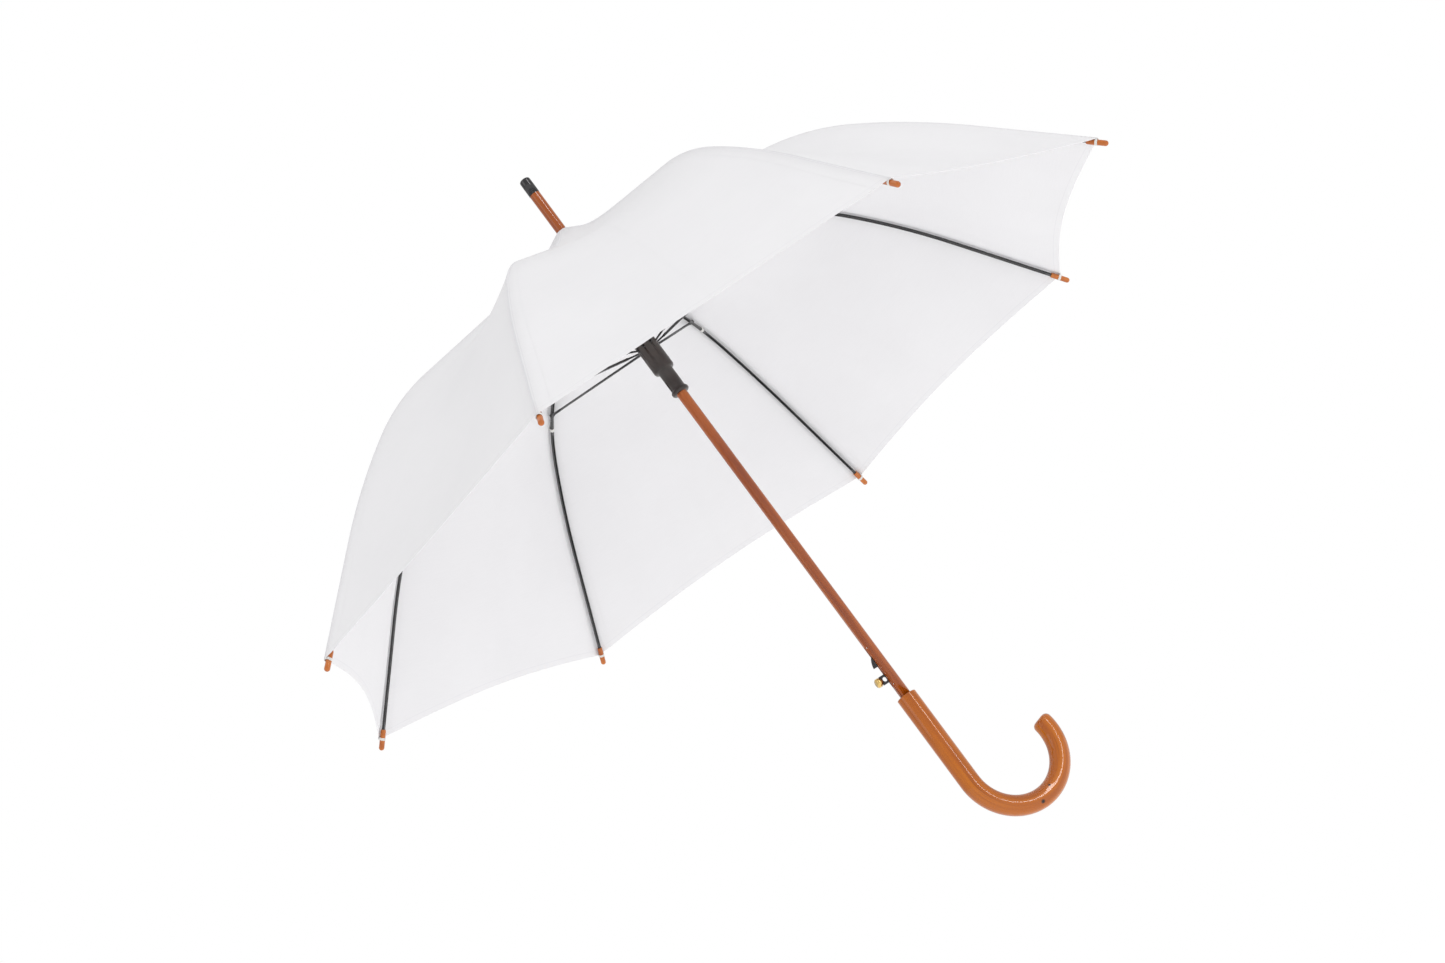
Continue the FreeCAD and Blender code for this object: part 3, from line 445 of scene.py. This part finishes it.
def cloth_ease(run, side, share):
    """Small give in the cloth: it is drawn to the rib along the seam, and slack waves fan out from each
    corner as sin(waves x angle from the rib) fading away from the hem."""
    reach = np.abs(side)
    seam = -0.0006 * np.exp(-((reach * 22) ** 2)) * np.clip(share * 8, 0, 1)
    from_corner = np.clip((CORNER_RUN - run) / 0.16, 0, 1)
    fan = 0.0009 * np.sin(reach * np.pi * 5) * np.exp(-reach * 3.2) * (1 - from_corner) ** 2 * from_corner * 6
    return seam + fan


def cloth_shell(name, number, upper, lower):
    """A thin closed sheet turned to its rib: an upper and a lower grid of points, joined round the rim."""
    rows, columns = upper.shape[:2]
    skin = grid_faces(rows, columns)
    count = rows * columns
    order = np.arange(count).reshape(rows, columns)
    rim = np.concatenate([order[0, :-1], order[:-1, -1], order[-1, :0:-1], order[:0:-1, 0]])
    following = np.roll(rim, -1)
    wall = np.stack([following, rim, rim + count, following + count], axis=-1)
    faces = np.concatenate([skin, skin[:, ::-1] + count, wall])
    points = turned_to_rib(np.stack([upper, lower]), number)
    piece = new_piece("%s_%d" % (name, number), points, faces)
    piece.data.set_sharp_from_angle(angle=np.radians(50.0))
    return piece


def cut_area(cut):
    """Area of a grid of flat points: half the cross products of the diagonals of its quads, added up."""
    first, second = cut[1:, 1:] - cut[:-1, :-1], cut[1:, :-1] - cut[:-1, 1:]
    return float(np.abs(first[..., 0] * second[..., 1] - first[..., 1] * second[..., 0]).sum() / 2)


def store_on(piece, name, values):
    """Store one number for each point of a sheet's upper grid, and the same on its lower grid."""
    doubled = np.tile(values.ravel(), 2).astype(np.float32)
    piece.data.attributes.new(name, "FLOAT", "POINT").data.foreach_set("value", doubled)


def cloth_panel(number, name, runs, sides, rows, columns):
    """The cloth beside one rib between two runs and two sides, a grid over both that ends at the curved
    hem where the second run is None."""
    first, last = runs
    side = np.linspace(sides[0], sides[1], columns)
    slack = 1 - (1 - np.abs(side)) ** 2
    end = CORNER_RUN - HEM_DIP * slack if last is None else np.full(side.shape, last)
    run = first + (end - first) * np.linspace(0, 1, rows)[:, None]
    side = np.broadcast_to(side, run.shape)
    upper = cloth_surface(run, side, 0.0)
    lower = cloth_surface(run, side, CLOTH_THICKNESS)
    piece = cloth_shell(name, number, upper, lower)
    across = np.sign(side) * np.linalg.norm(upper - cloth_surface(run, 0 * side, 0.0), axis=-1)
    cut = np.stack([across, run], axis=-1)
    corner = np.empty(len(piece.data.loops), dtype=np.int32)
    piece.data.loops.foreach_get("vertex_index", corner)
    flat = cut.reshape(-1, 2)[corner % (rows * columns)]
    piece.data.uv_layers.new(name="cut").data.foreach_set("uv", flat.ravel())
    store_on(piece, "from_hem", CORNER_RUN - HEM_DIP * slack - run)
    store_on(piece, "from_seam", np.abs(across))
    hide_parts("canopy_panel_%d" % number)
    cut_area(cut)
    return piece


def gather(piece):
    """Give a panel a mesh of its own; it is not drawn in towards its rib as the frame folds."""
    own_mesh(piece)


# stretches of the cloth down a rib below the yoke: name, runs, rows, body and how far its sides gather
CLOTH_STRETCHES = (
    ("cloth_inner", (YOKE_RUN, FLEX_RUN), 46, "rib", 0.26),
    ("cloth_outer", (FLEX_RUN, None), 76, "rib_end", 0.12),
)

for rib in range(1, RIBS + 1):
    collar = cloth_panel(rib, "cloth_collar", (CLOTH_START, COLLAR_RUN), (-1, 1), 12, 25)
    dress(collar, cloth_finish, None)
    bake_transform(collar)
    yoke = cloth_panel(rib, "cloth_yoke", (COLLAR_RUN, YOKE_RUN), (-1, 1), 9, 25)
    dress(yoke, cloth_finish, "rib_%d" % rib)
    gather(yoke)
    for name, runs, rows, body, keep in CLOTH_STRETCHES:
        ridge = cloth_panel(rib, name + "_ridge", runs, (-RIDGE_SIDE, RIDGE_SIDE), rows, 9)
        dress(ridge, cloth_finish, "%s_%d" % (body, rib))
        for hand, sides in (("left", (RIDGE_SIDE, 1)), ("right", (-1, -RIDGE_SIDE))):
            wing = cloth_panel(rib, "%s_%s" % (name, hand), runs, sides, rows, 36)
            dress(wing, cloth_finish, "%s_%d" % (body, rib))
            gather(wing)


def make_rosette():
    """Small cloth cap round the shaft under the canopy's middle: a cone from the shaft's skin out over the
    crown, with a thickness and a slightly fluted rim, 0.4 mm x cos(8 x turn)."""
    turn = np.linspace(0, 2 * np.pi, 97)[:-1]
    share = np.linspace(0, 1, 14)[:, None]
    radius = 0.0063 + 0.0177 * share + 0 * turn
    height = 0.6800 - 0.0135 * share**1.3 + 0.0004 * share * np.cos(8 * (turn - FIRST_RIB))
    upper = np.stack([radius * np.cos(turn), radius * np.sin(turn), height + 0 * turn], axis=-1)
    lower = upper[::-1] - np.array([0, 0, 0.0004])
    return closed_ring("crown_rosette", np.concatenate([upper, lower]))


rosette = make_rosette()
dress(rosette, cloth_finish, "root")

# ----------------------------------------------------------------------------------------------------
# Threads that hold the cloth to the frame
# ----------------------------------------------------------------------------------------------------


def wound_thread(name, middle, along, up, width, height, turns, pitch, thread):
    """Thread wound round a bar: its middle line is middle + along x pitch x turn + width cos(turn) x
    sideways + height sin(turn) x up, and its skin is a circle of the thread's radius carried along."""
    along, up = np.array(along, float), np.array(up, float)
    sideways = np.cross(up, along)
    turn = np.linspace(0, 2 * np.pi * turns, int(20 * turns) + 1)[:, None]
    lay = (turn / (2 * np.pi) - turns / 2) * pitch
    line = middle + lay * along + width * np.cos(turn) * sideways + height * np.sin(turn) * up
    outward = np.cos(turn) * sideways / width + np.sin(turn) * up / height
    outward /= np.linalg.norm(outward, axis=1, keepdims=True)
    forward = np.gradient(line, axis=0)
    forward /= np.linalg.norm(forward, axis=1, keepdims=True)
    across = np.cross(forward, outward)
    around = np.linspace(0, 2 * np.pi, 9)[:-1]
    c, s = np.cos(around)[None, :, None], np.sin(around)[None, :, None]
    rings = line[:, None, :] + thread * (c * outward[:, None, :] + s * across[:, None, :])
    return closed_tube(name, rings)


def rib_frame(run, number):
    """Point on a rib's centreline, its direction outwards and the direction up off it, turned to the rib."""
    out, height, slope = (float(value) for value in rib_line(np.array(run)))
    vectors = np.array(
        [
            [out, 0.0, height],
            [np.cos(slope), 0.0, -np.sin(slope)],
            [np.sin(slope), 0.0, np.cos(slope)],
        ]
    )
    return turned_to_rib(vectors, number)


for rib in range(1, RIBS + 1):
    point, along, up = rib_frame(FLEX_RUN, rib)
    tie = wound_thread(
        "rib_tie_%d" % rib, point + 0.0013 * up, along, up, 0.0021, 0.0033, 7, 0.00055, 0.00028
    )
    dress(tie, thread_finish, "rib_end_%d" % rib)
    point, along, up = rib_frame(CORNER_RUN - 0.0012, rib)
    stitch = wound_thread(
        "tip_stitch_%d" % rib, point + 0.0006 * up, along, up, 0.0033, 0.0038, 5, 0.00055, 0.00028
    )
    dress(stitch, thread_finish, "rib_end_%d" % rib)

# ----------------------------------------------------------------------------------------------------
# Frame, shaft and handle
# ----------------------------------------------------------------------------------------------------

for rib in range(1, RIBS + 1):
    for node, body, slot, finish in (
        ("inner_rib", "rib", "rib_steel", enamel_finish),
        ("outer_rib", "rib_end", "rib_steel", enamel_finish),
        ("stretcher", "stretcher", "rib_steel", enamel_finish),
        ("rib_tip", "rib_end", "tip_wood", tip_finish),
    ):
        copy = smooth_copy("%s_%d" % (node, rib), "%s_%d_shown" % (node, rib))
        dress(copy, finish, "%s_%d" % (body, rib))

for node, body, slot, finish in (
    ("shaft", "root", "shaft_wood", shaft_finish),
    ("handle", "root", "handle_wood", handle_finish),
    ("ferrule_cap", "root", "cap_metal", cap_finish),
    ("top_notch", "root", "runner_plastic", plastic_finish),
    ("notch_wire", "root", "spring_steel", spring_finish),
    ("spring_anchor_pin", "root", "spring_steel", spring_finish),
    ("opening_spring", "root", "spring_steel", spring_finish),
    ("catch_keeper_pins", "root", "spring_steel", spring_finish),
    ("catch_spring", "root", "spring_steel", spring_finish),
    ("catch_hook", "catch", "catch_metal", catch_finish),
    ("release_button", "catch", "button_brass", brass_finish),
    ("runner", "runner", "runner_plastic", plastic_finish),
    ("runner_wire", "runner", "spring_steel", spring_finish),
    ("drive_pin", "runner", "spring_steel", spring_finish),
):
    dress(smooth_copy(node, node + "_shown"), finish, body)

leaf = bpy.data.objects["catch_spring_shown"]
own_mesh(leaf)


def store_grain(piece):
    """Where each point of the bent handle lay in the straight stick: across x and y, and z along the
    middle line. Down the grip that is the point itself; round the crook it is unrolled about its centre."""
    bend = 0.054
    foot = -0.055
    place = np.empty(len(piece.data.vertices) * 3, dtype=np.float32)
    piece.data.vertices.foreach_get("co", place)
    place = place.reshape(-1, 3)
    across = place[:, 0] - bend
    below = foot - place[:, 2]
    angle = np.arctan2(below, -across)
    angle = np.where(angle < -0.6, angle + 2 * np.pi, angle)
    crook = below > 0
    crook |= place[:, 0] > 0.03
    x = np.where(crook, bend - np.hypot(across, below), place[:, 0])
    z = np.where(crook, foot - angle * bend, place[:, 2])
    grain = np.stack([x, place[:, 1], z], axis=-1).astype(np.float32)
    piece.data.attributes.new("grain", "FLOAT_VECTOR", "POINT").data.foreach_set("vector", grain.ravel())


store_grain(bpy.data.objects["handle_shown"])

# ----------------------------------------------------------------------------------------------------
# Floor, light and camera
# ----------------------------------------------------------------------------------------------------


def make_stage():
    """Pale matt floor far below the object, lit a little from itself so that it stays even."""
    finish = Finish("studio_floor", Roughness=0.9, Emission_Color=(1, 1, 1, 1), Emission_Strength=0.4)
    speckle = finish.noise(finish.place(), 3.0, 2.0)
    finish.colour(finish.ramp(speckle, (0.4, (0.90, 0.90, 0.90)), (0.6, (0.92, 0.92, 0.92))))
    corners = np.array([[-30, -30, 0], [30, -30, 0], [30, 30, 0], [-30, 30, 0]], float) + [0, 0, -1.5]
    floor = new_piece("studio_floor", corners, np.array([[0, 1, 2, 3]]), smooth=False)
    floor.data.materials.append(finish.material)


def make_surroundings(strength):
    """White surroundings that light the object at a strength, and that the camera sees as full white."""
    world = bpy.data.worlds.new("studio_white")
    world.use_nodes = True
    nodes, links = world.node_tree.nodes, world.node_tree.links
    background = nodes["Background"]
    background.inputs["Color"].default_value = (1.0, 1.0, 1.0, 1.0)
    seen = nodes.new("ShaderNodeLightPath").outputs["Is Camera Ray"]
    share = nodes.new("ShaderNodeMapRange")
    share.inputs["To Min"].default_value = strength
    share.inputs["To Max"].default_value = 1.0
    links.new(seen, share.inputs["Value"])
    links.new(share.outputs["Result"], background.inputs["Strength"])
    bpy.context.scene.world = world
    bpy.context.scene.view_settings.view_transform = "Standard"


def make_light(name, place, aim, size, power):
    """A soft box of light, size wide and high, at place and facing aim."""
    lamp = bpy.data.lights.new(name, "AREA")
    lamp.shape = "RECTANGLE"
    lamp.size, lamp.size_y = size
    lamp.energy = power
    holder = bpy.data.objects.new(name, lamp)
    holder.location = place
    holder.rotation_euler = (Vector(aim) - Vector(place)).to_track_quat("-Z", "Y").to_euler()
    bpy.context.scene.collection.objects.link(holder)


def make_camera(place, aim, roll, lens):
    """Camera at place, looking at aim, turned by roll degrees about its own line of sight."""
    camera = bpy.data.cameras.new("camera")
    camera.lens = lens
    camera.sensor_width = 36.0
    camera.clip_start = 0.05
    camera.clip_end = 200.0
    holder = bpy.data.objects.new("camera", camera)
    look = (Vector(aim) - Vector(place)).to_track_quat("-Z", "Y")
    turned = look.to_matrix() @ Matrix.Rotation(np.radians(roll), 3, "Z")
    holder.matrix_world = Matrix.Translation(Vector(place)) @ turned.to_4x4()
    bpy.context.scene.collection.objects.link(holder)
    bpy.context.scene.camera = holder


make_stage()
make_surroundings(0.74)
make_light("right_softbox", (1.35, -2.75, 1.10), (0, 0, 0.30), (0.26, 2.0), 19)
make_light("left_softbox", (-3.0, -0.9, 1.6), (0, 0, 0.55), (1.8, 1.8), 9)
make_light("top_softbox", (-0.6, -0.6, 3.2), (0, 0, 0.5), (2.4, 2.4), 9)
make_camera((-1.2193, -2.5784, -0.3651), (-0.0191, 0.0088, 0.3530), -36.44, 69.52)
